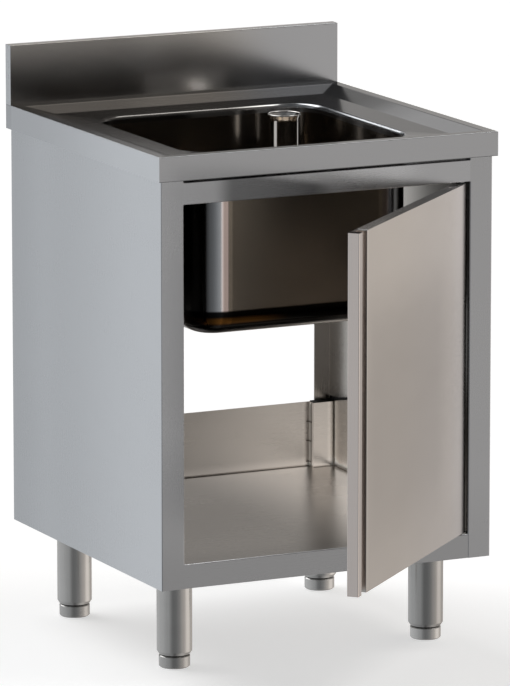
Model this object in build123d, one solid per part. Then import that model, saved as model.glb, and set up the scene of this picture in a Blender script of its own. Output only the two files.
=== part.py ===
from build123d import *
import math
import os

# Kitchen sink unit with a hinged door, in millimetres.
# Origin on the floor below the middle of the worktop. +Z up, +Y to the wall, +X to the hinge side.

# overall
topWidth = 600
topDepth = 600
topHeight = 850
apronHeight = 40
upstandTop = 950
upstandThick = 20
sheet = 1.0
halfWidth = topWidth / 2
halfDepth = topDepth / 2
apronBottom = topHeight - apronHeight

# pressed worktop: flat border, first slope, gentle slope to the bowl
borderFlat = 17
borderCorner = 2
creaseInset = 52
creaseDrop = 10
creaseCorner = 8
rimDrop = 14.4
rimRoll = 7
neckBottom = 822

# bowl, sizes inside
bowlWidth = 396
bowlLength = 400
bowlCorner = 60
bowlBottomRound = 40
bowlFloor = 536
bowlFront = -210
bowlMidY = bowlFront + bowlLength / 2

# cabinet body
bodyHalf = 294
bodyFront = -292
bodyBack = 294
bodyBottom = 150
stileWidth = 40
stileReturn = 16
rearReturn = 30
topFlange = 9
stileTopCut = 4
bendRadius = 1.6
edgeRound = 1.3
openHalf = bodyHalf - stileWidth
openBottom = 190
openTop = 770
railTop = 806
railReturn = 42
rearRailTop = 848
rearRailFlange = 18

# bottom shelf
shelfHalf = 293
shelfBack = 293
shelfBackTop = 302
backHalf = 255
cornerFace = 275
cornerFaceEnd = 290.6
flangeTop = 313.6
flangeLow = 304.6
flangeSlope = 47
hemHeight = 4
frontFlangeReturn = 22

# legs and feet
legX = 227
legFront = -195
legBack = 197
legRadius = 28.75
legWall = 1.2
legEnd = 22
legTaper = 5
legDraw = 3.2
legTop = 151
footRadius = 25.3
footTop = 20
footBevel = 2
stemRadius = 8
stemGap = 0.3
stemTop = 92
insertTop = 73
beamHalf = 48
beamSheet = 2.0
socketHalf = 42
socketRadius = 27.4
socketEnd = 115

# drain and standpipe
drainX = 120
drainY = 115
drainFlange = 35
drainNeck = 26.9
drainBore = 21
tailRadius = 23.9
tailEnd = 482
seatTop = 538.5
plugBore = 19
pipeRadius = 24.2
pipeWall = 1.2
pipeTop = 832
flareRadius = 26.4
flareHeight = 8
rimRound = 1.3

# door, closed: pivot midway through its thickness
doorOpen = 43
doorThick = 19.5
doorFront = bodyFront
doorMid = doorFront + doorThick / 2
doorBack = doorFront + doorThick
pivotX = 242
doorFree = -252
doorBottom = 193
doorTop = 767
lipWidth = 15
grooveWidth = 21
grooveDepth = 15.5
lipInner = doorFree + lipWidth
panelEdge = lipInner + grooveWidth
pinRadius = 4.0
pinFit = 0.05
pinHole = 0.4
pinLength = 20
bushRadius = 6.5
bushFlange = 8.5
platePivot = 2.0
hingeSeam = 226
backSeam = -242
gripSeam = 6


def save(name, *solids):
    """One STEP file for a sub-part; several solids stay separate in it."""
    shape = solids[0] if len(solids) == 1 else Compound(children=list(solids))
    export_step(shape, f"parts/{name}.step")


def bar(x0, x1, y0, y1, z0, z1):
    """Straight block between two corners."""
    return Pos((x0 + x1) / 2, (y0 + y1) / 2, (z0 + z1) / 2) * Box(x1 - x0, y1 - y0, z1 - z0)


def disc(radius, z0, z1, x=0, y=0):
    """Upright cylinder from z0 to z1."""
    return Pos(x, y, (z0 + z1) / 2) * Cylinder(radius, z1 - z0)


def turned(points, x=0, y=0):
    """Round piece from its half section of radius and height."""
    return Pos(x, y, 0) * revolve(Plane.XZ * make_face(Polyline(*points, close=True)), Axis.Z)


def folded(path, thick=sheet):
    """Flat section of a folded sheet whose outer side follows the path."""
    faces = []
    for side in (Side.LEFT, Side.RIGHT):
        faces.append(make_face(path.offset_2d(thick, side=side, closed=True).edges()))
    return min(faces, key=lambda face: face.area)


def upright(face, z0, z1):
    """Section in the XY plane pulled up from z0 to z1."""
    return extrude(Pos(0, 0, z0) * face, z1 - z0)


def across(face, x0, x1):
    """Section drawn as depth and height, pulled along X."""
    return extrude(Pos(x0, 0, 0) * (Plane.YZ * face), x1 - x0)


def mirrorX(solid):
    return mirror(solid, about=Plane.YZ)


# --- worktop and bowl ---------------------------------------------------------

def bowlBlock(grow, z0, z1, bottomRound=0):
    """Rounded block of the bowl's shape, grown by the sheet thickness."""
    outline = RectangleRounded(bowlWidth + 2 * grow, bowlLength + 2 * grow, bowlCorner + grow)
    block = Pos(0, bowlMidY, z0) * extrude(outline, z1 - z0)
    if bottomRound:
        block = fillet(block.faces().sort_by(Axis.Z)[0].edges(), bottomRound + grow)
    return block


def pressedRecess(drop):
    """Space above the pressed surface: two shallow sloped steps that end at the bowl's rim."""
    middle = -upstandThick / 2
    length = topDepth - upstandThick

    def level(inset, z, corner):
        outline = RectangleRounded(topWidth - 2 * inset, length - 2 * inset, corner)
        return Pos(0, middle, z - drop) * outline

    crease = level(creaseInset, topHeight - creaseDrop, creaseCorner)
    rim = Pos(0, bowlMidY, topHeight - rimDrop - drop) * RectangleRounded(
        bowlWidth + 2 * rimRoll, bowlLength + 2 * rimRoll, bowlCorner + rimRoll)
    edge = loft([level(borderFlat, topHeight, borderCorner), crease])
    return edge + loft([crease, rim])


def topBlock(inset, drop):
    """Block under the worktop's surface, with the rolled bowl opening cut through it."""
    low = apronBottom - 1 - drop
    rimZ = topHeight - rimDrop - drop
    block = bar(-halfWidth + inset, halfWidth - inset, -halfDepth + inset, halfDepth - inset,
                low, topHeight - drop)
    block -= pressedRecess(drop)
    block -= bowlBlock(drop, low - 1, topHeight)

    def onRim(edge):
        box = edge.bounding_box()
        level = abs(box.min.Z - rimZ) < 0.01 and abs(box.max.Z - rimZ) < 0.01
        return level and max(-box.min.X, box.max.X) < bowlWidth / 2 + drop + 0.5 \
            and box.max.Y < bowlFront + bowlLength + drop + 0.5 and box.min.Y > bowlFront - drop - 0.5

    return fillet([edge for edge in block.edges() if onRim(edge)], rimRoll - drop - 0.3)


def worktop():
    """Folded top in one sheet: pressed surface, aprons, rolled bowl neck and boxed upstand."""
    block = topBlock(0, 0)
    outer = [edge for edge in block.edges().group_by(Axis.Z)[-1]
             if max(abs(edge.center().X) - halfWidth, -edge.center().Y - halfDepth) > -0.1]
    solid = fillet(outer, edgeRound) - topBlock(sheet, sheet)
    solid -= bar(-topWidth, topWidth, -topDepth, topDepth, 0, apronBottom)
    solid -= bowlBlock(sheet + 0.5, apronBottom - 10, neckBottom)
    boxFront = halfDepth - upstandThick
    solid -= bar(-halfWidth + sheet, halfWidth - sheet, boxFront + sheet, halfDepth - sheet,
                 topHeight - 2 * sheet, topHeight)
    fold = FilletPolyline((boxFront, topHeight - sheet), (boxFront, upstandTop),
                          (halfDepth, upstandTop), (halfDepth, apronBottom), radius=bendRadius)
    return solid + across(folded(fold), -halfWidth, halfWidth)


def upstandCap(outer):
    """Plate welded in the open end of the boxed upstand."""
    y0 = halfDepth - upstandThick + sheet
    x0, x1 = sorted((outer, outer - math.copysign(sheet, outer)))
    return bar(x0, x1, y0, halfDepth - sheet, topHeight, upstandTop - sheet)


def sinkBowl():
    """Deep-drawn bowl, welded to the worktop's neck, with the drain hole in its floor."""
    shell = bowlBlock(sheet, bowlFloor - sheet, neckBottom, bowlBottomRound)
    shell -= bowlBlock(0, bowlFloor, neckBottom + 1, bowlBottomRound)
    return shell - disc(drainNeck + 0.1, bowlFloor - 5, bowlFloor + 5, drainX, drainY)


# --- cabinet body -------------------------------------------------------------

def weldFill(low, high):
    """Dressed corner weld that closes the bend between the right stile and a rail."""
    return bar(openHalf, openHalf + bendRadius, bodyFront, bodyFront + bendRadius, low, high)


def sidePanel():
    """Right side: wall, front stile with its return, rear return, top and bottom flanges."""
    fold = FilletPolyline((bodyHalf - rearReturn, bodyBack), (bodyHalf, bodyBack),
                          (bodyHalf, bodyFront), (openHalf, bodyFront),
                          (openHalf, bodyFront + stileReturn), radius=bendRadius)
    wallTop = topHeight - sheet
    panel = upright(folded(fold), bodyBottom, wallTop)
    inner = bodyHalf - sheet
    panel += bar(bodyHalf - topFlange, inner, bodyFront + sheet, bodyBack - sheet,
                 wallTop - sheet, wallTop)
    panel += bar(bodyHalf - rearReturn, inner, bodyFront + sheet, bodyBack - sheet,
                 bodyBottom, bodyBottom + sheet)
    panel += weldFill(openTop, railTop)
    return panel - bar(openHalf - 1, bodyHalf - topFlange, bodyFront - 1, bodyBack + 1,
                       wallTop - stileTopCut, wallTop + 1)


def topFrontRail():
    """Rail over the doorway, between the stiles, with the hinge pin's hole in its return."""
    fold = FilletPolyline((bodyFront + railReturn, openTop), (bodyFront, openTop),
                          (bodyFront, railTop), (bodyFront + stileReturn, railTop), radius=bendRadius)
    rail = across(folded(fold), -openHalf, openHalf)
    return rail - disc(pinRadius + pinHole, openTop - 1, openTop + 2 * sheet, pivotX, doorMid)


def topRearRail():
    """Channel across the back, under the worktop, inside the rear returns."""
    face = bodyBack - sheet
    fold = FilletPolyline((face - rearRailFlange, openTop), (face, openTop),
                          (face, rearRailTop), (face - rearRailFlange, rearRailTop), radius=bendRadius)
    inner = bodyHalf - bendRadius
    rail = across(folded(fold), -inner, inner)
    notch = bar(inner - topFlange, inner + 1, face - rearRailFlange - 1, face + 1,
                rearRailTop - 2 * sheet, rearRailTop + 1)
    return rail - notch - mirrorX(notch)


def shelfSide():
    """Right rear corner and side flange of the shelf, in one fold each."""
    low = openBottom - sheet
    step = bar(backHalf - sheet, backHalf, cornerFace, shelfBack, low, shelfBackTop)
    step += bar(backHalf - sheet, cornerFaceEnd, cornerFace, cornerFace + sheet, low, shelfBackTop)
    step += bar(backHalf - sheet, cornerFaceEnd, cornerFace, shelfBack, shelfBackTop - sheet, shelfBackTop)
    rear = cornerFace - 5
    front = bodyFront + stileReturn + 2
    outline = Polyline((front, low), (rear, low), (rear, flangeLow), (rear - flangeSlope, flangeTop),
                       (front, flangeTop), close=True)
    return step + across(make_face(outline), shelfHalf - sheet, shelfHalf)


def bottomShelf():
    """Tray floor with its front rail, folded back, stepped rear corners and side flanges."""
    low = openBottom - sheet
    stileEnd = bodyFront + stileReturn + 1
    shelf = bar(-shelfHalf, shelfHalf, stileEnd, cornerFace + sheet, low, openBottom)
    shelf += bar(-backHalf, backHalf, cornerFace, shelfBack, low, openBottom)
    rail = FilletPolyline((stileEnd + 1, openBottom), (bodyFront, openBottom), (bodyFront, bodyBottom),
                          (bodyFront + frontFlangeReturn, bodyBottom), radius=bendRadius)
    shelf += across(folded(rail), -openHalf, openHalf)
    shelf += bar(-backHalf, backHalf, shelfBack - sheet, shelfBack, low, shelfBackTop)
    shelf += bar(-backHalf + sheet, backHalf - sheet, shelfBack - 2 * sheet, shelfBack - sheet,
                 shelfBackTop - hemHeight, shelfBackTop)
    corner = shelfSide()
    return shelf + corner + mirrorX(corner)


# --- legs ---------------------------------------------------------------------

def legBeam(y):
    """Channel under the shelf that joins two leg sockets and carries the floor."""
    base = bodyBottom + sheet
    fold = FilletPolyline((y - beamHalf, openBottom - sheet), (y - beamHalf, base),
                          (y + beamHalf, base), (y + beamHalf, openBottom - sheet), radius=bendRadius * 2)
    inner = bodyHalf - sheet
    beam = across(folded(fold, beamSheet), -inner, inner)
    for x in (-legX, legX):
        beam -= disc(socketRadius + 0.1, base - 1, base + beamSheet + 1, x, y)
    return beam


def legSocket(x, y):
    """Plate on the channel's web with a stub that the leg slides over."""
    base = bodyBottom + sheet + beamSheet
    plate = bar(x - socketHalf, x + socketHalf, y - socketHalf, y + socketHalf, base, base + 3)
    plate = fillet(plate.edges().filter_by(Axis.Z), 6)
    stub = disc(socketRadius, socketEnd, base, x, y)
    return plate + stub - disc(socketRadius - 2, socketEnd - 1, base + 4, x, y)


def legTube(x, y):
    """Round leg, drawn in a little at its lower end."""
    drawn = legRadius - legDraw
    return turned([(drawn, legEnd), (legRadius, legEnd + legTaper), (legRadius, legTop),
                   (legRadius - legWall, legTop), (legRadius - legWall, legEnd + legTaper + 1),
                   (drawn - legWall, legEnd)], x, y)


def legInsert(x, y):
    """Plug in the leg's end with the thread for the foot."""
    outer = legRadius - legWall
    shoulder = legEnd + legTaper + 1
    bore = stemRadius + stemGap
    return turned([(bore, shoulder), (outer, shoulder), (outer, insertTop), (bore, insertTop)], x, y)


def levellingFoot(x, y):
    """Round foot with a bevelled sole and a threaded stem."""
    soleRadius = footRadius - footBevel
    neck = stemRadius + 4
    return turned([(0, 0), (soleRadius, 0), (footRadius, footBevel), (footRadius, footTop - 1.5),
                   (footRadius - 1.5, footTop), (neck, footTop), (stemRadius, footTop + 3),
                   (stemRadius, stemTop - 2), (stemRadius - 2, stemTop), (0, stemTop)], x, y)


# --- drain and standpipe ------------------------------------------------------

def drainSeat():
    """Flange on the bowl's floor with the seat for the standpipe and a threaded neck."""
    seat = drainNeck - 3.5
    return turned([(seat, 524), (drainNeck, 524), (drainNeck, bowlFloor), (drainFlange, bowlFloor),
                   (drainFlange, bowlFloor + 0.8), (drainFlange - 5, seatTop), (seat, seatTop)],
                  drainX, drainY)


def drainGasket():
    """Flat ring under the bowl's floor."""
    top = bowlFloor - sheet
    return turned([(drainNeck + 0.3, top - 3), (drainFlange - 2, top - 3), (drainFlange - 2, top),
                   (drainNeck + 0.3, top)], drainX, drainY)


def drainBody():
    """Waste body that clamps the gasket and ends in the pipe thread."""
    top = bowlFloor - sheet - 3
    shoulder = 521
    return turned([(drainBore, tailEnd), (tailRadius, tailEnd), (tailRadius, shoulder - 10),
                   (drainNeck + 4, shoulder), (drainNeck + 4, top - 4), (drainFlange - 2, top - 4),
                   (drainFlange - 2, top), (drainNeck, top), (drainNeck, shoulder),
                   (drainBore, shoulder - 3)], drainX, drainY)


def standpipePlug():
    """Rubber foot of the standpipe: stops the seat and holds the tube."""
    stop = drainNeck - 3.9
    collar = pipeRadius + 2
    socket = seatTop + 2.5
    return turned([(plugBore, seatTop - 8), (stop - 1, seatTop - 8), (stop, seatTop - 5), (stop, seatTop),
                   (collar, seatTop), (collar, seatTop + 8), (pipeRadius, seatTop + 9.5),
                   (pipeRadius, socket), (plugBore, socket)], drainX, drainY)


def standpipe():
    """Overflow tube with a flared mouth and rolled rim; lifts out of the drain."""
    inner = pipeRadius - pipeWall
    rimZ = pipeTop - rimRound
    wall = FilletPolyline((inner, seatTop + 2.5), (inner, rimZ - flareHeight), (flareRadius, rimZ),
                          radius=12)
    tube = Pos(drainX, drainY, 0) * revolve(Plane.XZ * folded(wall, pipeWall), Axis.Z)
    rim = Pos(drainX, drainY, rimZ) * Torus(flareRadius, rimRound)
    return tube + rim


# --- door, drawn closed and turned open about its pivot -----------------------

def opened(solid):
    """Turn a piece drawn on the closed door to the door's open position."""
    pivot = Axis((pivotX, doorMid, 0), (0, 0, 1))
    return solid.rotate(pivot, doorOpen)


def doorFrontSkin():
    """Front sheet: round hinge edge, face, and the return wall beside the grip."""
    bend = Pos(panelEdge + bendRadius, doorFront + bendRadius) * CenterArc((0, 0), bendRadius, 180, 90)
    hinge = Wire([
        Line((hingeSeam, doorBack), (pivotX, doorBack)).edge(),
        ThreePointArc((pivotX, doorBack), (pivotX + doorThick / 2, doorMid), (pivotX, doorFront)).edge(),
        Line((pivotX, doorFront), (panelEdge + bendRadius, doorFront)).edge(),
        bend.edge(),
        Line((panelEdge, doorFront + bendRadius), (panelEdge, doorFront + grooveDepth)).edge(),
    ])
    return upright(folded(hinge), doorBottom, doorTop)


def doorGrip():
    """Full-height pull: groove floor and hollow lip folded in one strip."""
    floor = doorFront + grooveDepth
    fold = FilletPolyline((panelEdge + gripSeam, floor), (lipInner, floor), (lipInner, doorFront),
                          (doorFree, doorFront), (doorFree, doorBack), (backSeam, doorBack),
                          radius=bendRadius)
    return upright(folded(fold), doorBottom, doorTop)


def doorBackSkin():
    """Flat sheet that closes the back, between the grip and the hinge edge."""
    return bar(backSeam, hingeSeam, doorBack - sheet, doorBack, doorBottom, doorTop)


def doorEnd(z0):
    """Closing plate in the end of the door, with the hole for the hinge bush."""
    inner = doorThick / 2 - sheet
    plate = bar(panelEdge + sheet, pivotX, doorMid - inner, doorMid + inner, z0, z0 + sheet)
    plate += disc(inner, z0, z0 + sheet, pivotX, doorMid)
    plate -= bar(panelEdge, panelEdge + gripSeam, doorFront + grooveDepth,
                 doorFront + grooveDepth + sheet, z0, z0 + sheet)
    plate -= bar(panelEdge, panelEdge + bendRadius, doorFront, doorFront + bendRadius, z0, z0 + sheet)
    return plate - disc(bushRadius, z0 - 1, z0 + 2, pivotX, doorMid)


def doorCore():
    """Sound-deadening board between the two sheets."""
    return bar(panelEdge + gripSeam + 1, pivotX - 10, doorFront + sheet, doorBack - sheet,
               doorBottom + sheet, doorTop - sheet)


def doorBush(end, inward, collar):
    """Plastic bush in the door's end, with a thin collar towards the frame."""
    bore = pinRadius + pinFit
    face = end - inward * collar
    low = end + inward * (pinLength + 2)
    points = [(bore, face), (bushFlange, face), (bushFlange, end), (bushRadius, end),
              (bushRadius, low), (bore, low)]
    return turned(points, pivotX, doorMid)


def hingePivot(plateLow, pinLow, pinHigh):
    """Plate on the frame with its riveted pin, which the door's bush turns on."""
    plate = bar(pivotX - 32, pivotX + 11, doorMid - 8, doorMid + 8, plateLow, plateLow + platePivot)
    plate = fillet(plate.edges().filter_by(Axis.Z), 4)
    return plate + disc(pinRadius, pinLow, pinHigh, pivotX, doorMid)


# --- all sub-parts ------------------------------------------------------------

os.makedirs("parts", exist_ok=True)

save("worktop", worktop())
save("upstand_cap_left", upstandCap(-halfWidth))
save("upstand_cap_right", upstandCap(halfWidth))
save("sink_bowl", sinkBowl())
rightPanel = sidePanel()
save("side_panel_right", rightPanel)
save("side_panel_left", mirrorX(rightPanel + weldFill(bodyBottom, openBottom)))
save("top_front_rail", topFrontRail())
save("top_rear_rail", topRearRail())
save("bottom_shelf", bottomShelf())

for place, y in (("front", legFront), ("rear", legBack)):
    save(f"leg_beam_{place}", legBeam(y))
    for side, x in (("left", -legX), ("right", legX)):
        corner = f"{place}_{side}"
        save(f"leg_socket_{corner}", legSocket(x, y))
        save(f"leg_tube_{corner}", legTube(x, y))
        save(f"leg_insert_{corner}", legInsert(x, y))
        save(f"foot_{corner}", levellingFoot(x, y))

save("drain_seat", drainSeat())
save("drain_gasket", drainGasket())
save("drain_body", drainBody())
save("standpipe_plug", standpipePlug())
save("standpipe_tube", standpipe())

upperPlate = openTop + sheet
save("hinge_pivot_top", hingePivot(upperPlate, openTop - pinLength, upperPlate + platePivot))
save("hinge_pivot_bottom", hingePivot(openBottom, openBottom, openBottom + platePivot + pinLength))

save("door_front_skin", opened(doorFrontSkin()))
save("door_grip", opened(doorGrip()))
save("door_back_skin", opened(doorBackSkin()))
save("door_end_top", opened(doorEnd(doorTop - sheet)))
save("door_end_bottom", opened(doorEnd(doorBottom)))
save("door_core", opened(doorCore()))
save("door_bush_top", doorBush(doorTop, -1, 0.4))
save("door_bush_bottom", doorBush(doorBottom, 1, 1.0))
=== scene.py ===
import math

import bmesh
import bpy
from mathutils import Matrix, Vector


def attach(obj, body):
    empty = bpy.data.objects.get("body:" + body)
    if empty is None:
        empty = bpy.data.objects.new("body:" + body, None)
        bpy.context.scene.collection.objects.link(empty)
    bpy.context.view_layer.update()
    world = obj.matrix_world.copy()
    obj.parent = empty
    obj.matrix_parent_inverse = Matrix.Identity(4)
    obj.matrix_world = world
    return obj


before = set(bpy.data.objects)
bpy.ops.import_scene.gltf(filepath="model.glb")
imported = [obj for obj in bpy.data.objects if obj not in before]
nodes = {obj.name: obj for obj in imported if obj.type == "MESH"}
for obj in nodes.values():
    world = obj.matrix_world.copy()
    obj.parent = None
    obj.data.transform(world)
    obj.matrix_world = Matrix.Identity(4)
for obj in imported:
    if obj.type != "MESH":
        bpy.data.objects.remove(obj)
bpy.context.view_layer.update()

footCorners = ("front_left", "front_right", "rear_left", "rear_right")
pivot = (0.2420, -0.28225)       # hinge pins of the door
doorTurn = math.radians(43)      # the door stands open by this much


# shader helpers: a wrapped socket does sums, a look holds one material

class Value:
    def __init__(self, look, socket):
        self.look = look
        self.socket = socket

    def sum(self, operation, other, swap=False):
        first, second = (other, self) if swap else (self, other)
        return self.look.add("ShaderNodeMath", {"operation": operation}, {0: first, 1: second})

    def __add__(self, other):
        return self.sum("ADD", other)

    def __radd__(self, other):
        return self.sum("ADD", other, True)

    def __sub__(self, other):
        return self.sum("SUBTRACT", other)

    def __rsub__(self, other):
        return self.sum("SUBTRACT", other, True)

    def __mul__(self, other):
        return self.sum("MULTIPLY", other)

    def __rmul__(self, other):
        return self.sum("MULTIPLY", other, True)

    def __truediv__(self, other):
        return self.sum("DIVIDE", other)

    def __rtruediv__(self, other):
        return self.sum("DIVIDE", other, True)

    def __pow__(self, other):
        return self.sum("POWER", other)


class Look:
    def __init__(self, name, tree=None):
        if tree is None:
            self.material = bpy.data.materials.new(name)
            self.material.use_nodes = True
            tree = self.material.node_tree
        self.tree = tree
        self.tree.nodes.clear()

    def add(self, kind, settings=None, sockets=None, output=0):
        node = self.tree.nodes.new(kind)
        for name, setting in (settings or {}).items():
            if name == "stops":
                while len(node.color_ramp.elements) < len(setting):
                    node.color_ramp.elements.new(0.5)
                for element, (place, level) in zip(node.color_ramp.elements, setting):
                    element.position = place
                    element.color = (level, level, level, 1) if isinstance(level, float) else (*level, 1)
            else:
                setattr(node, name, setting)
        for name, given in (sockets or {}).items():
            if isinstance(given, Value):
                self.tree.links.new(given.socket, node.inputs[name])
            else:
                node.inputs[name].default_value = given
        return Value(self, node.outputs[output])

    def mixColour(self, factor, first, second, blend="MIX"):
        node = self.tree.nodes.new("ShaderNodeMix")
        node.data_type = "RGBA"
        node.blend_type = blend
        for name, given in (("Factor", factor), ("A", first), ("B", second)):
            places = [s for s in node.inputs if s.name == name and s.enabled]
            if isinstance(given, Value):
                self.tree.links.new(given.socket, places[0])
            else:
                places[0].default_value = given if name == "Factor" else (*given, 1)
        return Value(self, [s for s in node.outputs if s.enabled][0])

    def place(self, scale=(1, 1, 1), shift=(0, 0, 0)):
        coords = self.add("ShaderNodeTexCoord", output="Object")
        return self.add("ShaderNodeMapping", None, {"Vector": coords, "Scale": scale, "Location": shift})

    def axes(self, vector):
        parts = self.tree.nodes.new("ShaderNodeSeparateXYZ")
        self.tree.links.new(vector.socket, parts.inputs[0])
        return [Value(self, socket) for socket in parts.outputs]

    def noise(self, where, scale, detail=3.0, rough=0.5):
        return self.add("ShaderNodeTexNoise", None,
                        {"Vector": where, "Scale": scale, "Detail": detail, "Roughness": rough})

    def band(self, value, low, high, lowOut=0.0, highOut=1.0):
        # soft step from lowOut to highOut while value goes from low to high
        return self.add("ShaderNodeMapRange", {"interpolation_type": "SMOOTHSTEP"},
                        {"Value": value, "From Min": low, "From Max": high,
                         "To Min": lowOut, "To Max": highOut})

    def within(self, value, low, high, blur):
        # one between low and high, nothing outside, with both steps blur wide and inside
        return self.band(value, low, low + blur) * self.band(value, high, high - blur)

    def size(self, value):
        return self.add("ShaderNodeMath", {"operation": "ABSOLUTE"}, {0: value})

    def largest(self, value, other):
        return self.add("ShaderNodeMath", {"operation": "MAXIMUM"}, {0: value, 1: other})

    def surface(self, constants, varying):
        node = self.tree.nodes.new("ShaderNodeBsdfPrincipled")
        for name, level in constants.items():
            node.inputs[name].default_value = level
        for name, given in varying.items():
            self.tree.links.new(given.socket, node.inputs[name])
        end = self.tree.nodes.new("ShaderNodeOutputMaterial")
        self.tree.links.new(node.outputs[0], end.inputs["Surface"])
        return self.material


def wear(mesh, material):
    mesh.data.materials.clear()
    mesh.data.materials.append(material)


def dress(nodeName, material):
    piece = nodes[nodeName]
    for index in range(len(piece.material_slots)):
        piece.material_slots[index].material = material


# finishes

satinSteel = {
    "tint": (0.598, 0.612, 0.638),   # rolled sheet, seen straight on
    "shade": (0.568, 0.581, 0.606),
    "roughness": 0.28,
    "metallic": 1.0,
    "grainAcross": 2000.0,          # brush lines per metre
    "grainAlong": 14.0,
    "grainDepth": 0.0000018,
}


def brushedSteel(name, along, finish=satinSteel, shading=None):
    # along is the axis that the brush lines run in; shading gives the painted light and shade, a factor and
    # tint that each place is multiplied by
    look = Look(name)
    scale = [finish["grainAcross"]] * 3
    scale["XYZ".index(along)] = finish["grainAlong"]
    grain = look.noise(look.place(tuple(scale)), 1.0, 4.0, 0.6)
    broad = look.noise(look.place(), 3.2, 2.0)
    smear = look.noise(look.place((1.0, 1.0, 2.4), shift=(0.3, 0.1, 0.7)), 11.0, 3.0, 0.55)
    tone = grain * 0.40 + broad * 0.35 + smear * 0.25
    colour = look.mixColour(look.band(tone, 0.35, 0.65), finish["shade"], finish["tint"])
    if shading:
        factor, tint = shading(look, *look.axes(look.place()))
        colour = look.mixColour(1.0, colour, tint, "MULTIPLY")
        colour = look.add("ShaderNodeVectorMath", {"operation": "SCALE"}, {0: colour, "Scale": factor})
    rough = finish["roughness"] + (grain - 0.5) * 0.05 + (broad - 0.5) * 0.05 + (smear - 0.5) * 0.04
    bump = look.add("ShaderNodeBump", None,
                    {"Height": grain, "Distance": finish["grainDepth"], "Strength": 1.0})
    return look.surface({"Metallic": finish["metallic"]},
                        {"Base Color": colour, "Roughness": rough, "Normal": bump})


topSteel = dict(satinSteel, roughness=0.19, grainDepth=0.0000015)
drawnSteel = dict(satinSteel, tint=(0.46, 0.45, 0.44), shade=(0.42, 0.41, 0.40),
                  roughness=0.14, grainDepth=0.000001)
tubeSteel = dict(satinSteel, tint=(0.64, 0.63, 0.62), shade=(0.57, 0.56, 0.55),
                 roughness=0.20, grainDepth=0.000002)
# a brighter, pinker copy of the door steel: painted light on the grip
gripLitSteel = dict(satinSteel, tint=(0.87, 0.79, 0.75), shade=(0.82, 0.74, 0.70), roughness=0.22)
doorSteel = dict(satinSteel, tint=(0.655, 0.62, 0.59), shade=(0.615, 0.58, 0.55), roughness=0.24)
polished = dict(satinSteel, tint=(0.72, 0.71, 0.70), shade=(0.66, 0.65, 0.64),
                roughness=0.10, grainDepth=0.000001)
zincSteel = dict(satinSteel, tint=(0.55, 0.55, 0.54), shade=(0.40, 0.40, 0.39), roughness=0.42)
burntSteel = dict(satinSteel, tint=(0.30, 0.27, 0.24), shade=(0.16, 0.14, 0.12), roughness=0.45)
# pale steel for the corner beads: its pale tint is a painted highlight
weldGlintSteel = dict(satinSteel, tint=(0.95, 0.94, 0.92), shade=(0.86, 0.85, 0.83), roughness=0.50)
# near-white steel for small bright spots: painted highlight
paleGlintSteel = dict(satinSteel, tint=(0.95, 0.95, 0.95), shade=(0.85, 0.85, 0.85), roughness=0.45, metallic=0.35)


def mouldedBlack(name, tint, roughness):
    # black plastic or rubber with a fine moulded texture
    look = Look(name)
    fine = look.noise(look.place(), 1800.0, 2.0)
    broad = look.noise(look.place(), 30.0, 3.0)
    colour = look.mixColour(look.band(broad, 0.3, 0.7), tint, [level * 1.7 for level in tint])
    rough = roughness + (broad - 0.5) * 0.15
    bump = look.add("ShaderNodeBump", None, {"Height": fine, "Distance": 0.00004})
    return look.surface({"Specular IOR Level": 0.4},
                        {"Base Color": colour, "Roughness": rough, "Normal": bump})


def foamBoard():
    look = Look("foam_board")
    cells = look.add("ShaderNodeTexVoronoi", None, {"Vector": look.place(), "Scale": 420.0})
    colour = look.mixColour(look.band(cells, 0.1, 0.7), (0.62, 0.55, 0.38), (0.78, 0.71, 0.53))
    bump = look.add("ShaderNodeBump", None, {"Height": cells, "Distance": 0.0002})
    return look.surface({"Roughness": 0.9}, {"Base Color": colour, "Normal": bump})


# shading functions paint light and shade: they give a factor and a tint for each place of a piece; places
# are in metres

plain = (1.0, 1.0, 1.0)
warmBounceTint = (1.085, 1.0, 0.90)
behindFront = (-0.2900, -0.2895)      # y just behind the front sheets
shadedGapPlace = {"x": (0.2528, 0.2556), "y": (-0.2902, -0.2760), "z": (0.1905, 0.7695)}


def paintedInsideWarmth(look, x, y):
    # painted warm bounce light: steel inside the cabinet is tinted warmer than outside
    inside = look.band(x * x, 0.0863, 0.0860) * look.band(y, *behindFront)
    return look.mixColour(inside, plain, warmBounceTint)


def shelfShading(look, x, y, z):
    # duller to the left and behind, where the doorway's light does not reach
    floor = look.band(x, -0.02, 0.16, 0.66, 1.12) * look.band(y, -0.285, -0.20, 0.85, 1.0)
    upright = look.band(x, 0.03, 0.20, 0.66, 0.80) + look.band(x * x, 0.0640, 0.0645, 0.0, 0.12)
    # the folds keep catching some light right into the corners
    across = look.size(x)
    behind = look.band(y, 0.2835, 0.2840)
    upright = upright + behind * look.band(across, 0.2380, 0.2535, 0.0, 0.50)
    upright = upright + (1.0 - behind) * look.band(across, 0.2780, 0.2890, 0.0, 0.40)
    upright = upright + look.band(across, 0.2895, 0.2903) * look.band(y, 0.2500, 0.2740, 0.0, 0.40)
    upright = upright * look.band(z, 0.1910, 0.2100, 1.35, 1.0)
    level = floor + (upright - floor) * look.band(z, 0.1905, 0.1915)
    outside = 0.87
    return outside + look.band(y, *behindFront) * (level - outside), paintedInsideWarmth(look, x, y)


def railShading(look, x, y, z):
    # painted reflection: a soft dark mirror image of the open door, bounded by a slanting line, on a rail
    # painted brighter overall, most just right of the middle
    edge = z - 0.783 + x * 0.19
    image = look.band(edge, -0.006, 0.008, 1.0, 0.0) * look.band(x, -0.205, -0.165)
    right = look.band(x, -0.01, 0.06) * look.band(x, 0.17, 0.11)
    dark = image * look.band(x, 0.02, -0.03, 0.0, 0.72)
    return look.band(x, 0.13, 0.19, 1.22, 1.12) + right * 0.18 - dark, plain


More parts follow.
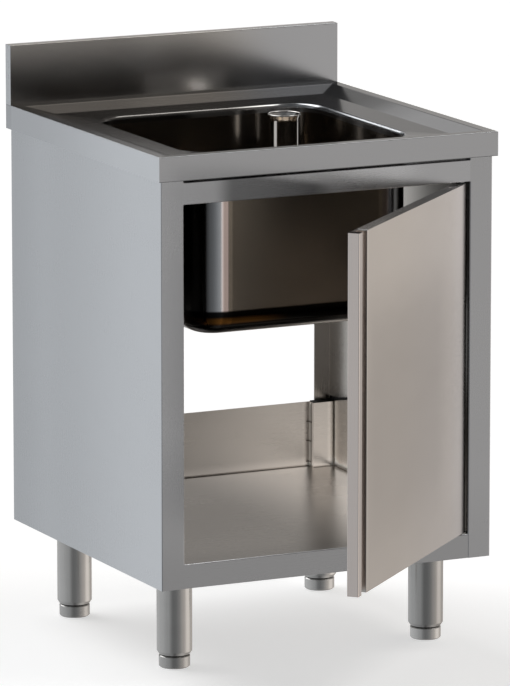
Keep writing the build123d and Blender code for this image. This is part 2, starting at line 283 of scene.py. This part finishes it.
def panelShading(look, x, y, z):
    # painted light and shade: the outer wall is a little brighter to the front, the stiles darker low down,
    # and the narrow hinge gap is painted dark as shade
    outer = look.band(x * x, 0.0862, 0.0864)
    front = 1.0 + outer * (look.band(y, 0.12, -0.26, 0.0, 0.22) - look.band(y, 0.15, 0.28, 0.0, 0.10))
    stile = look.band(y, -0.2910, -0.2914)
    left = look.band(z, 0.16, 0.28, 0.86, 1.0) + look.band(z, 0.30, 0.42, 0.0, 0.19)
    level = left + look.band(x, -0.1, 0.1) * (look.band(z, 0.16, 0.30, 0.95, 1.02) - left)
    front = front + stile * (level - front)
    gapShade = look.within(x, *shadedGapPlace["x"], 0.0004) * look.within(y, *shadedGapPlace["y"], 0.0004) \
        * look.within(z, *shadedGapPlace["z"], 0.0005)
    return front * (1.0 - gapShade * 0.88), paintedInsideWarmth(look, x, y)


def topShading(look, x, y, z):
    # how the pressed zones catch the light: flat border, first slope and gentle slope, each by its side
    half, standFront, seam = 0.3, 0.28, 0.0015

    def ramp(value, levels):
        # a colour ramp holds levels up to one, so they go in halved
        stops = [((place + half) / (2 * half), level / 2) for place, level in levels]
        return look.add("ShaderNodeValToRGB", {"stops": stops}, {"Fac": (value + half) / (2 * half)}) * 2.0

    def smaller(first, second):
        return look.band(first - second, seam, -seam)

    right, left, front, back = half - x, x + half, y + half, standFront - y
    onRight = smaller(right, front) * smaller(right, back)
    onLeft = smaller(left, front) * smaller(left, back)
    onBack = smaller(back, left) * smaller(back, right)
    onFront = smaller(front, left) * smaller(front, right)
    border = onRight * ramp(y, ((-0.27, 0.60), (0.24, 0.44))) + onFront * 0.43 + onBack * 1.6 \
        + onLeft * ramp(y, ((-0.27, 0.80), (-0.16, 1.05), (-0.05, 1.50), (0.14, 1.55), (0.20, 1.15)))
    slope = onRight * ramp(y, ((-0.09, 1.12), (0.0, 0.86), (0.06, 0.46), (0.12, 0.30))) \
        + onFront * 0.45 + onBack * 1.08 \
        + onLeft * ramp(y, ((-0.24, 1.50), (-0.09, 1.0), (0.04, 0.98), (0.12, 0.75), (0.17, 0.5)))
    gentle = onRight * 0.40 + onFront * 0.45 + onBack * 0.36 \
        + onLeft * ramp(y, ((-0.21, 1.60), (-0.08, 1.60), (-0.02, 1.50), (0.06, 1.30), (0.15, 0.70)))
    slope = border + look.band(z, 0.8496, 0.8490) * (slope - border)
    pressed = slope + look.band(z, 0.8403, 0.8397) * (gentle - slope)
    # the rolled rim at the back left is painted darker, dimming its highlight
    turned = 1.0 - look.band(y, 0.15, 0.185) * look.band(x, 0.13, 0.05, 0.0, 0.72)
    rim = pressed + look.band(z, 0.8354, 0.8346) * (turned - pressed)
    # outer aprons: painted brighter to the front at the left; a painted shade line at the front's lower edge
    faceLeft = look.band(x, -0.2990, -0.2996)
    faceFront = look.band(y, -0.2990, -0.2996)
    rim = rim + faceLeft * (look.band(y, -0.29, 0.29, 1.21, 0.84) - rim)
    rim = rim + faceFront * (look.band(z, 0.8106, 0.8113, 0.35, 0.88) - rim)
    # upstand: soft dark mirror image of the bowl at its lower left
    stand = look.band(y, 0.2780, 0.2786)
    rise = look.band(x, -0.11, -0.02, 0.78, 0.97)
    # the back band is given a warm tint: painted reflection
    behind = look.band(y, 0.15, 0.20) * look.band(x, 0.20, 0.05) * (1.0 - faceLeft)
    return rim + stand * (rise - rim), look.mixColour(behind, plain, (1.06, 1.0, 0.92))


def doorShading(look, x, y, z):
    # painted sheen: brighter at the top, a little darker at mid height
    level = look.band(z, 0.50, 0.75, 0.95, 1.16) + look.band(z, 0.42, 0.25, 0.0, 0.04)
    middle = look.band(x, -0.12, -0.05) * look.band(x, 0.20, 0.14) * look.band(z, 0.18, 0.34) \
        * look.band(z, 0.70, 0.58)
    tint = look.mixColour(look.band(x, -0.02, 0.18), plain, (0.985, 1.0, 1.035))
    return (level + look.band(x, 0.08, 0.20, 0.0, 0.06)) * (1.0 - middle * 0.14), tint


def gripShading(look, x, y, z):
    # painted shade: the lip's narrow front is darker than its edge; along runs from the open door's pivot to
    # its free edge
    along = (pivot[0] - x) * math.cos(doorTurn) + (pivot[1] - y) * math.sin(doorTurn)
    front = look.band(along, 0.4930, 0.4920)
    middle = look.band(z, 0.74, 0.64) * look.band(z, 0.22, 0.32)
    return 1.0 - front * (0.16 + middle * 0.08), look.mixColour(front, plain, (0.97, 1.0, 1.03))


def legShading(look, x, y, z):
    # painted shade: the leg below the door stands in the door's shade, and the two on the left are a little
    # darker
    left = look.band(x, 0.05, -0.05)
    return 1.0 - (1.0 - left) * look.band(y, 0.05, -0.05) * 0.26 - left * 0.10, plain


def footShading(look, x, y, z):
    # painted shade: the two on the left are darker
    return 1.0 - look.band(x, 0.05, -0.05) * 0.17, plain


bowlForm = {
    "halfWidth": 0.138,          # straight part of the wall on either side
    "halfLength": 0.140,
    "midY": -0.010,
    "ring": 0.020,               # corner radius less the bottom's
    "roundTop": 0.576,
    "wall": (0.0403, 0.0407),    # from the inner to the outer skin, off the bottom's round
}


def bowlShading(look, x, y, z):
    # painted reflection and shade on the hidden outer side: warm brown, with a painted highlight and dark
    # ends at the corners and painted shade underneath; the inside stays neutral
    across = look.size(x)
    overX = look.largest(across - bowlForm["halfWidth"], 0.0)
    overY = look.largest(look.size(y - bowlForm["midY"]) - bowlForm["halfLength"], 0.0)
    reach = look.largest((overX * overX + overY * overY) ** 0.5 - bowlForm["ring"], 0.0)
    below = look.largest(bowlForm["roundTop"] - z, 0.0)
    outer = look.band((reach * reach + below * below) ** 0.5, *bowlForm["wall"])
    corner = look.band(across, 0.1366, 0.1374)
    fade = look.band(across, 0.1500, 0.1680, 1.55, 0.62) * look.band(across, 0.1655, 0.1745, 1.0, 0.05) \
        * look.band(across, 0.1440, 0.1500, 0.44, 1.0)
    flat = look.band(across, 0.1290, 0.1320, 0.40, 0.65) + look.band(x, -0.05, 0.05, 0.0, 0.10)
    level = (flat + corner * (fade - flat)) * look.band(z, 0.5745, 0.5785, 0.03, 1.0)
    cool = look.mixColour(look.band(across, 0.1440, 0.1500), (1.10, 0.97, 0.94), (0.96, 1.0, 1.06))
    tint = look.mixColour(corner, (1.10, 0.98, 0.82), cool)
    # painted warm glint on the lower round, standing in for a reflection
    glow = look.band(z, 0.552, 0.558) * look.band(z, 0.568, 0.562) * look.band(x, -0.02, -0.10)
    tint = look.mixColour(glow, tint, (16.0, 7.0, 1.6))
    return 1.0 + outer * (level - 1.0), look.mixColour(outer, (1.08, 1.0, 0.90), tint)


sheetUpright = brushedSteel("steel_upright", "Z")
panelLook = brushedSteel("steel_panel", "Z", satinSteel, panelShading)
sheetAcross = brushedSteel("steel_across", "X")
shelfLook = brushedSteel("steel_shelf", "X", satinSteel, shelfShading)
topLook = brushedSteel("top_pressed", "X", topSteel, topShading)
railLook = brushedSteel("steel_rail", "X", satinSteel, railShading)
doorLook = brushedSteel("door_steel", "Z", doorSteel, doorShading)
gripLook = brushedSteel("grip_steel", "Z", gripLitSteel, gripShading)
bowlLook = brushedSteel("bowl_drawn", "Z", drawnSteel, bowlShading)
tubeLook = brushedSteel("leg_steel", "Z", tubeSteel, legShading)
footLook = brushedSteel("foot_turned", "X", dict(tubeSteel, roughness=0.26), footShading)
polishedLook = brushedSteel("polished_tube", "Z", polished)
zincLook = brushedSteel("zinc_plate", "X", zincSteel)
rubberLook = mouldedBlack("black_rubber", (0.016, 0.016, 0.017), 0.75)
plasticLook = mouldedBlack("black_plastic", (0.022, 0.022, 0.023), 0.48)
foamLook = foamBoard()
# black for strips that stand in for shadow gaps: painted shade
shadowGapLook = mouldedBlack("shadow_gap_black", (0.006, 0.006, 0.006), 0.7)
markLook = brushedSteel("weld_mark", "X", burntSteel)
weldGlintLook = brushedSteel("weld_glint_pale", "Z", weldGlintSteel)
paleGlintLook = brushedSteel("pale_glint_steel", "Z", paleGlintSteel)

nodeLooks = {
    "worktop": topLook, "upstand_cap_left": sheetUpright, "upstand_cap_right": sheetUpright,
    "sink_bowl": bowlLook, "side_panel_left": panelLook, "side_panel_right": panelLook,
    "top_front_rail": railLook, "top_rear_rail": sheetAcross, "bottom_shelf": shelfLook,
    "leg_beam_front": zincLook, "leg_beam_rear": zincLook,
    "drain_seat": polishedLook, "drain_gasket": rubberLook, "drain_body": plasticLook,
    "standpipe_tube": polishedLook, "standpipe_plug": rubberLook,
    "hinge_pivot_top": zincLook, "hinge_pivot_bottom": zincLook,
    "door_front_skin": doorLook, "door_grip": gripLook, "door_back_skin": doorLook,
    "door_end_top": doorLook, "door_end_bottom": doorLook, "door_core": foamLook,
    "door_bush_top": plasticLook, "door_bush_bottom": plasticLook,
}
for corner in footCorners:
    nodeLooks["leg_socket_" + corner] = zincLook
    nodeLooks["leg_tube_" + corner] = tubeLook
    nodeLooks["leg_insert_" + corner] = plasticLook
    nodeLooks["foot_" + corner] = footLook
for nodeName, material in nodeLooks.items():
    dress(nodeName, material)
print("finishes done:", len(nodeLooks), "nodes")


# small parts that the CAD model leaves out

def addPiece(name, mesh, body, material):
    mesh.name = name
    piece = bpy.data.objects.new(name, mesh)
    bpy.context.collection.objects.link(piece)
    wear(piece, material)
    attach(piece, body)
    return piece


def finished(form, outwards=True):
    if outwards:
        bmesh.ops.recalc_face_normals(form, faces=form.faces[:])
    mesh = bpy.data.meshes.new("form")
    form.to_mesh(mesh)
    form.free()
    return mesh


def join(form, first, second):
    # band of faces between two rings of corners
    for index, corner in enumerate(first):
        after = (index + 1) % len(first)
        form.faces.new((corner, first[after], second[after], second[index]))


def bothSides(bar):
    # the same bar at the right and at the left
    return [(*sorted((side * bar[0], side * bar[1])), *bar[2:]) for side in (1, -1)]


def boxes(bars, bevel=0.0):
    # one mesh of straight bars, each given by two corners, with softened edges
    form = bmesh.new()
    for x0, x1, y0, y1, z0, z1 in bars:
        made = bmesh.ops.create_cube(form, size=1.0)
        bmesh.ops.scale(form, vec=(x1 - x0, y1 - y0, z1 - z0), verts=made["verts"])
        bmesh.ops.translate(form, vec=((x0 + x1) / 2, (y0 + y1) / 2, (z0 + z1) / 2), verts=made["verts"])
    if bevel:
        bmesh.ops.bevel(form, geom=form.edges[:], offset=bevel, segments=2, affect="EDGES", profile=0.6)
    return finished(form, False)


class Grower:
    # a Geometry Nodes tree with named inputs, used once and turned into a plain mesh
    def __init__(self, name, inputs):
        self.tree = bpy.data.node_groups.new(name, "GeometryNodeTree")
        self.inputs = inputs
        self.sockets = {}
        for label, level in inputs.items():
            kind = "NodeSocketInt" if isinstance(level, int) else "NodeSocketFloat"
            self.sockets[label] = self.tree.interface.new_socket(label, in_out="INPUT", socket_type=kind)
        self.tree.interface.new_socket("Geometry", in_out="OUTPUT", socket_type="NodeSocketGeometry")
        self.given = self.tree.nodes.new("NodeGroupInput")

    def add(self, kind, sockets=None, settings=None, output=0):
        node = self.tree.nodes.new(kind)
        for label, setting in (settings or {}).items():
            setattr(node, label, setting)
        for label, given in (sockets or {}).items():
            for one in given if isinstance(given, list) else [given]:
                if isinstance(one, str):
                    self.tree.links.new(self.given.outputs[one], node.inputs[label])
                elif isinstance(one, bpy.types.NodeSocket):
                    self.tree.links.new(one, node.inputs[label])
                else:
                    node.inputs[label].default_value = one
        return node.outputs[output]

    def mesh(self, last, material):
        real = self.add("GeometryNodeRealizeInstances", {"Geometry": last})
        done = self.add("GeometryNodeSetMaterial", {"Geometry": real, "Material": material})
        end = self.tree.nodes.new("NodeGroupOutput")
        self.tree.links.new(done, end.inputs[0])
        holder = bpy.data.objects.new("holder", bpy.data.meshes.new("holder"))
        bpy.context.collection.objects.link(holder)
        modifier = holder.modifiers.new("grow", "NODES")
        modifier.node_group = self.tree
        for label, level in self.inputs.items():
            modifier[self.sockets[label].identifier] = level
        bpy.context.view_layer.update()
        grown = bpy.data.meshes.new_from_object(holder.evaluated_get(bpy.context.evaluated_depsgraph_get()))
        bpy.data.objects.remove(holder)
        return grown


def threadMesh(name, spec, material):
    # helical ridge round an upright stem
    grow = Grower(name, {"Radius": spec["radius"], "Length": spec["length"], "Turns": spec["turns"],
                         "Ridge": spec["ridge"]})
    helix = grow.add("GeometryNodeCurveSpiral", {"Resolution": spec["steps"], "Rotations": "Turns",
                                                 "Start Radius": "Radius", "End Radius": "Radius",
                                                 "Height": "Length"})
    ridge = grow.add("GeometryNodeCurvePrimitiveCircle", {"Resolution": 4, "Radius": "Ridge"})
    swept = grow.add("GeometryNodeCurveToMesh", {"Curve": helix, "Profile Curve": ridge, "Fill Caps": True})
    placed = grow.add("GeometryNodeTransform", {"Geometry": swept, "Translation": spec["place"]})
    return grow.mesh(placed, material)


def hexHeads(name, spec, material):
    # hexagon heads with round washers, hung below the given points
    grow = Grower(name, {"Across": spec["across"], "Depth": spec["depth"]})
    head = grow.add("GeometryNodeMeshCone", {"Vertices": 6, "Side Segments": 1, "Radius Top": "Across",
                                             "Radius Bottom": "Across", "Depth": "Depth"})
    crown = grow.add("GeometryNodeMeshCone", {"Vertices": 24, "Radius Top": spec["across"] * 0.82,
                                              "Radius Bottom": spec["across"] * 0.62,
                                              "Depth": spec["crown"]})
    washer = grow.add("GeometryNodeMeshCone", {"Vertices": 28, "Radius Top": spec["washer"],
                                               "Radius Bottom": spec["washer"] * 0.95,
                                               "Depth": spec["washerThick"]})
    thick = spec["washerThick"]
    low = -thick - spec["depth"]
    parts = [grow.add("GeometryNodeTransform", {"Geometry": part, "Translation": (0, 0, drop)})
             for part, drop in ((washer, -thick), (head, low), (crown, low - spec["crown"]))]
    whole = grow.add("GeometryNodeJoinGeometry", {"Geometry": parts})
    spots = [grow.add("GeometryNodeTransform",
                      {"Geometry": grow.add("GeometryNodeMeshGrid", {"Size X": spec["pitch"],
                                                                     "Size Y": spec["pitch"],
                                                                     "Vertices X": 2, "Vertices Y": 2}),
                       "Translation": place}) for place in spec["places"]]
    spots = grow.add("GeometryNodeJoinGeometry", {"Geometry": spots})
    turn = grow.add("FunctionNodeRandomValue", {"Max": (0.0, 0.0, 1.0), "Seed": spec["seed"]},
                    {"data_type": "FLOAT_VECTOR"})
    heads = grow.add("GeometryNodeInstanceOnPoints", {"Points": spots, "Instance": whole, "Rotation": turn})
    return grow.mesh(heads, material)


legCentres = {"front_left": (-0.227, -0.195), "front_right": (0.227, -0.195),
              "rear_left": (-0.227, 0.197), "rear_right": (0.227, 0.197)}
footThread = {"radius": 0.0080, "length": 0.064, "turns": 32.0, "ridge": 0.00022, "steps": 20, "low": 0.0245}
tailThread = {"radius": 0.0239, "length": 0.026, "turns": 11.0, "ridge": 0.0009, "steps": 48,
              "place": (0.120, 0.115, 0.4835)}
beamBolts = {"across": 0.0057, "depth": 0.0040, "crown": 0.0007, "washer": 0.0065, "washerThick": 0.0012,
             "pitch": 0.060, "places": [(x, y, 0.151) for x, y in legCentres.values()], "seed": 7}

for corner, (x, y) in legCentres.items():
    thread = threadMesh("foot_thread_tree", dict(footThread, place=(x, y, footThread["low"])), zincLook)
    addPiece("foot_thread_" + corner, thread, "levelling_foot_" + corner, zincLook)
addPiece("drain_thread", threadMesh("drain_thread_tree", tailThread, plasticLook), "carcass", plasticLook)
addPiece("beam_bolts", hexHeads("beam_bolt_tree", beamBolts, zincLook), "carcass", zincLook)
print("threads and bolts done")

shelfCorner = {
    "backInner": 0.2920,      # front of the folded back
    "stepInner": 0.2540,      # inner side of the stepped corner
    "flangeEnd": 0.2832,      # where the back's side flange ends on the step
    "floor": 0.1900,
    "cornerTop": 0.3020,
    "line": 0.0004,
    "wide": 0.0007,           # joints along the walls
    "markHeights": (0.1985, 0.2345, 0.2675),
    "markHalf": 0.0008,
    "markReach": 0.0055,      # how far a weld mark runs onto the back, and onto the step
    "markStep": 0.0012,
}


def shelfJoints():
    # joint lines and weld marks at the right, then at the left, and the line along the back
    spec = shelfCorner
    line, wide, floor = spec["line"], spec["wide"], spec["floor"]
    inner, back = spec["stepInner"], spec["backInner"]
    bars = [(inner - line, inner, spec["flangeEnd"], spec["flangeEnd"] + line, floor, spec["cornerTop"]),
            (back - wide, back, -0.272, 0.2748, floor, floor + line),
            (0.2552, 0.2905, 0.2743, 0.2750, floor, floor + line)]
    for height in spec["markHeights"]:
        low, high = height - spec["markHalf"], height + spec["markHalf"]
        bars.append((inner - spec["markReach"], inner, back - 0.0006, back, low, high))
        bars.append((inner - spec["markStep"], inner, spec["flangeEnd"], back, low, high))
    pairs = [bothSides(bar) for bar in bars]
    return [pair[0] for pair in pairs] + [pair[1] for pair in pairs] \
        + [(-inner, inner, back - wide, back, floor, floor + wide)]


addPiece("shelf_joint_lines", boxes(shelfJoints(), 0.00008), "carcass", markLook)

# pale ground bead in each stepped corner, its pale tint a painted highlight of the bevel, and a black strip
# on top of it, painted shade standing in for a shadow gap
cornerWeldGlint = {"bar": (0.2532, 0.2540, 0.2840, 0.2918, 0.1908, 0.3000), "round": 0.0003}
# black strip on each stepped corner: painted shade for the shadow gap
cornerShadowStrip = {"bar": (0.2552, 0.2928, 0.2762, 0.2926, 0.3020, 0.3036), "round": 0.0004}
addPiece("step_weld_glints", boxes(bothSides(cornerWeldGlint["bar"]), cornerWeldGlint["round"]), "carcass", weldGlintLook)
addPiece("corner_shadow_strips", boxes(bothSides(cornerShadowStrip["bar"]), cornerShadowStrip["round"]), "carcass", shadowGapLook)

wallShadowStrip = {
    "path": ((0.2900, 0.3046), (0.2700, 0.3046), (0.2230, 0.3136), (-0.2700, 0.3136)),      # y and z
    "section": ((0.2920, 0.0), (0.2920, 0.0040), (0.2924, 0.0046), (0.2929, 0.0046), (0.2929, 0.0)),
}


def flangeShadowStrip():
    # black strip along the top of each side flange against the wall: painted shade standing in for a shadow
    # gap
    form = bmesh.new()
    for side in (1, -1):
        rings = [[form.verts.new((side * x, y, z + rise)) for x, rise in wallShadowStrip["section"]]
                 for y, z in wallShadowStrip["path"]]
        for first, second in zip(rings, rings[1:]):
            join(form, first, second)
        form.faces.new(rings[0])
        form.faces.new(rings[-1])
    return finished(form)


addPiece("flange_shadow_strips", flangeShadowStrip(), "carcass", shadowGapLook)


def circle(form, x, y, z, radius, steps):
    return [form.verts.new((x + radius * math.cos(math.tau * index / steps),
                            y + radius * math.sin(math.tau * index / steps), z)) for index in range(steps)]


pinRing = {
    "section": ((0.0042, 0.7676), (0.0056, 0.7676), (0.0060, 0.7681), (0.0060, 0.7693), (0.0056, 0.7698),
                (0.0042, 0.7698)),      # radius and height
    "steps": 48,
}


def hingeRing():
    # ring round the upper pin, between the door and the frame, in pale steel as a painted highlight
    form = bmesh.new()
    rings = [circle(form, *pivot, z, radius, pinRing["steps"]) for radius, z in pinRing["section"]]
    for first, second in zip(rings, rings[1:] + rings[:1]):
        join(form, first, second)
    return finished(form)


addPiece("hinge_ring", hingeRing(), "carcass", paleGlintLook)

plateScrews = {
    "plates": ((0.1920, 1), (0.7700, -1)),      # height of the plate's face, and which way it looks
    "places": (0.2165, 0.2285),
    "rings": ((0.0036, 0.0), (0.0034, 0.00022), (0.0026, 0.00032), (0.0012, 0.00034)),
    "dip": 0.0001,
    "steps": 24,
}


def screwHeads():
    # low round heads with a dimple, on both hinge plates
    form = bmesh.new()
    for z, up in plateScrews["plates"]:
        for x in plateScrews["places"]:
            rings = [circle(form, x, pivot[1], z + up * rise, radius, plateScrews["steps"])
                     for radius, rise in plateScrews["rings"]]
            for first, second in zip(rings, rings[1:]):
                join(form, first, second)
            dip = form.verts.new((x, pivot[1], z + up * plateScrews["dip"]))
            for index, corner in enumerate(rings[-1]):
                form.faces.new((corner, rings[-1][(index + 1) % len(rings[-1])], dip))
            form.faces.new(rings[0])
    return finished(form)


addPiece("hinge_screws", screwHeads(), "carcass", zincLook)

# painted highlight: a pale bar along the top edge of the grip's groove, standing in for its glint, given for
# the closed door
grooveGlint = {"bar": (-0.2168, -0.2150, -0.2920, -0.2762, 0.7654, 0.7676), "round": 0.0005}
grooveGlintBar = boxes([grooveGlint["bar"]], grooveGlint["round"])
grooveGlintBar.transform(Matrix.Translation((*pivot, 0)) @ Matrix.Rotation(doorTurn, 4, "Z")
                    @ Matrix.Translation((-pivot[0], -pivot[1], 0)))
addPiece("groove_glint_bar", grooveGlintBar, "door", paleGlintLook)
# the seals named in this message are the black strips of painted shade
print("joints, seals and hinge details done")


# stage: floor, lamps, camera

stage = {
    "floorSize": 60.0,
    "floorColour": (0.80, 0.80, 0.80),
    "floorGlow": 0.56,
}

# light around the studio: by compass direction (0 at the wall side, 90 at the hinge side),
# then by height from straight down (-1) to straight up (1)
around = [(-180, 0.36), (-165, 0.28), (-143, 0.26), (-119, 0.58), (-94, 0.60), (-65, 0.62), (-26, 0.68),
          (0, 0.66), (26, 0.70), (60, 0.55), (72, 0.60), (86, 0.84), (98, 1.30), (118, 1.35), (132, 0.86),
          (140, 0.74), (150, 0.68), (157, 0.62), (171, 0.42), (180, 0.36)]
upwardsBehind = [(-1.0, 0.60), (-0.5, 0.85), (-0.2, 1.0), (0.0, 0.90), (0.16, 0.70), (0.25, 0.64),
                 (0.36, 0.58), (0.60, 0.20), (1.0, 0.15)]
upwardsBefore = [(-1.0, 0.40), (-0.5, 0.55), (-0.245, 0.68), (-0.205, 1.0), (-0.1, 0.9), (0.0, 0.30),
                 (0.08, 0.12), (0.34, 0.10), (0.48, 0.25), (0.60, 0.45), (0.75, 0.35), (1.0, 0.15)]
coolTint = (0.96, 0.985, 1.0)
warmTint = (1.0, 0.94, 0.88)


def makeFloor():
    bpy.ops.mesh.primitive_plane_add(size=stage["floorSize"])
    floor = bpy.context.object
    floor.name = "floor"
    look = Look("pale_floor")
    tree = look.tree
    diffuse = tree.nodes.new("ShaderNodeBsdfDiffuse")
    diffuse.inputs["Color"].default_value = (*stage["floorColour"], 1)
    path = tree.nodes.new("ShaderNodeLightPath")
    seen = Value(look, path.outputs["Is Camera Ray"]) + Value(look, path.outputs["Is Transmission Ray"])
    glow = look.add("ShaderNodeEmission", None,
                    {"Color": (1, 1, 1, 1), "Strength": seen * stage["floorGlow"]})
    both = tree.nodes.new("ShaderNodeAddShader")
    tree.links.new(diffuse.outputs[0], both.inputs[0])
    tree.links.new(glow.socket, both.inputs[1])
    end = tree.nodes.new("ShaderNodeOutputMaterial")
    tree.links.new(both.outputs[0], end.inputs["Surface"])
    wear(floor, look.material)
    floor.visible_glossy = False


def makeWorld():
    # what the metal mirrors: pale at the back and the sides, dim in front and overhead
    world = bpy.data.worlds.new("studio")
    bpy.context.scene.world = world
    world.use_nodes = True
    look = Look("studio", world.node_tree)
    way = look.add("ShaderNodeTexCoord", output="Generated")
    x, y, z = look.axes(way)
    turn = look.add("ShaderNodeMath", {"operation": "ARCTAN2"}, {0: x, 1: y})
    stops = [(place / 360 + 0.5, level / 2) for place, level in around]
    compass = look.add("ShaderNodeValToRGB", {"stops": stops}, {"Fac": turn / math.tau + 0.5}) * 2.0

    def byHeight(levels):
        stops = [(place / 2 + 0.5, level) for place, level in levels]
        return look.add("ShaderNodeValToRGB", {"stops": stops}, {"Fac": z / 2 + 0.5})

    height = look.mixColour(look.band(y, -0.35, 0.35), byHeight(upwardsBefore), byHeight(upwardsBehind))
    tint = look.mixColour(look.band(x, -0.3, 0.8), coolTint, warmTint)
    glow = look.add("ShaderNodeBackground", None, {"Color": tint, "Strength": compass * height})
    end = look.tree.nodes.new("ShaderNodeOutputWorld")
    look.tree.links.new(glow.socket, end.inputs["Surface"])


def addLamp(name, kind, spec):
    data = bpy.data.lights.new(name, kind)
    data.color = spec["tint"]
    lamp = bpy.data.objects.new(name, data)
    bpy.context.collection.objects.link(lamp)
    return lamp, data


# azimuth 0 is towards the wall, 90 towards the hinge side
suns = {
    "key": {"azimuth": -25, "elevation": 48, "strength": 1.3, "spread": 50, "tint": (1.0, 1.0, 1.0)},
    "edge": {"azimuth": 112, "elevation": 60, "strength": 0.4, "spread": 24, "tint": (1.0, 0.98, 0.95)},
}


def softSun(name, spec):
    lamp, data = addLamp(name, "SUN", spec)
    data.energy = spec["strength"]
    data.angle = math.radians(spec["spread"])
    turn, rise = math.radians(spec["azimuth"]), math.radians(spec["elevation"])
    towards = Vector((math.sin(turn) * math.cos(rise), math.cos(turn) * math.cos(rise), math.sin(rise)))
    lamp.rotation_euler = towards.to_track_quat("Z", "Y").to_euler()


# thin glowing panels; each lights one node and is not seen itself
neutral = (1.0, 0.97, 0.94)
fills = {
    "shelf_fill": {"place": (0.0, 0.0105, 0.1925), "facing": (0, 0, 1), "size": (0.57, 0.56), "level": 0.35,
                   "lights": "bottom_shelf"},
    "back_fill": {"place": (0.0, 0.2905, 0.246), "facing": (0, -1, 0), "size": (0.50, 0.11), "level": 0.28,
                  "lights": "bottom_shelf"},
    "side_fill": {"place": (0.2905, 0.0, 0.25), "facing": (-1, 0, 0), "size": (0.53, 0.11), "level": 0.42,
                  "lights": "bottom_shelf"},
    "under_fill": {"place": (0.10, -0.27, 0.50), "facing": (0, 0, -1), "size": (0.56, 0.20), "level": 1.3,
                   "lights": "bottom_shelf"},
    "edge_fill": {"place": (0.285, -0.03, 0.40), "facing": (-1, 0, 0), "size": (0.22, 0.60), "level": 1.3,
                  "lights": "side_panel_left"},
    "door_fill": {"place": (-0.0686, -0.5502, 0.605), "facing": (-0.68, 0.73, 0), "size": (0.15, 0.27),
                  "level": 0.62, "lights": "sink_bowl", "tint": (1.0, 0.87, 0.81)},
    "pipe_left": {"place": (-0.06, 0.135, 0.775), "facing": (1, 0, 0), "size": (0.08, 0.05), "level": 0.60,
                  "lights": "standpipe_tube"},
    "pipe_right": {"place": (0.192, 0.115, 0.785), "facing": (-1, 0, 0), "size": (0.02, 0.05), "level": 0.5,
                   "lights": "standpipe_tube"},
    "pipe_top": {"place": (0.15, 0.21, 0.90), "facing": (-0.2, -0.7, -0.7), "size": (0.10, 0.10),
                 "level": 1.5, "lights": "standpipe_tube"},
    "pipe_image": {"place": (0.095, 0.113, 0.832), "facing": (0, 1, 0.1), "size": (0.15, 0.05),
                   "level": 0.07, "lights": "worktop"},
    "pipe_glint": {"place": (0.118, 0.114, 0.826), "facing": (0, 1, 0.1), "size": (0.045, 0.03),
                   "level": 0.17, "lights": "worktop"},
}


def softPanel(name, spec):
    lamp, data = addLamp(name, "AREA", spec)
    data.shape = "RECTANGLE"
    data.size, data.size_y = width, tall = spec["size"]
    data.energy = spec["level"] * math.pi * width * tall
    lamp.location = spec["place"]
    lamp.rotation_euler = Vector(spec["facing"]).to_track_quat("-Z", "Y").to_euler()
    lamp.visible_camera = False
    group = bpy.data.collections.new(name + "_lights")
    group.objects.link(nodes[spec["lights"]])
    lamp.light_linking.receiver_collection = group


makeFloor()
makeWorld()
for name, spec in suns.items():
    softSun(name, spec)
for name, spec in fills.items():
    softPanel(name, {"tint": neutral, **spec})
print("lamps done:", len(suns) + len(fills))

shot = {
    "place": (-4.5519, -9.4611, 2.5315),
    "yaw": 25.747,
    "pitch": 11.077,
    "focalPixels": 6532.8,
    "imageHeight": 686.0,
    "sensor": 36.0,
    "far": 200,
}


def makeCamera():
    data = bpy.data.cameras.new("camera")
    camera = bpy.data.objects.new("camera", data)
    bpy.context.collection.objects.link(camera)
    data.sensor_fit = "AUTO"
    data.sensor_width = shot["sensor"]
    data.lens = shot["focalPixels"] * shot["sensor"] / shot["imageHeight"]
    data.clip_end = shot["far"]
    camera.location = shot["place"]
    camera.rotation_euler = (math.radians(90 - shot["pitch"]), 0, -math.radians(shot["yaw"]))
    bpy.context.scene.camera = camera


makeCamera()
bpy.context.scene.view_settings.view_transform = "Standard"
print("camera done")
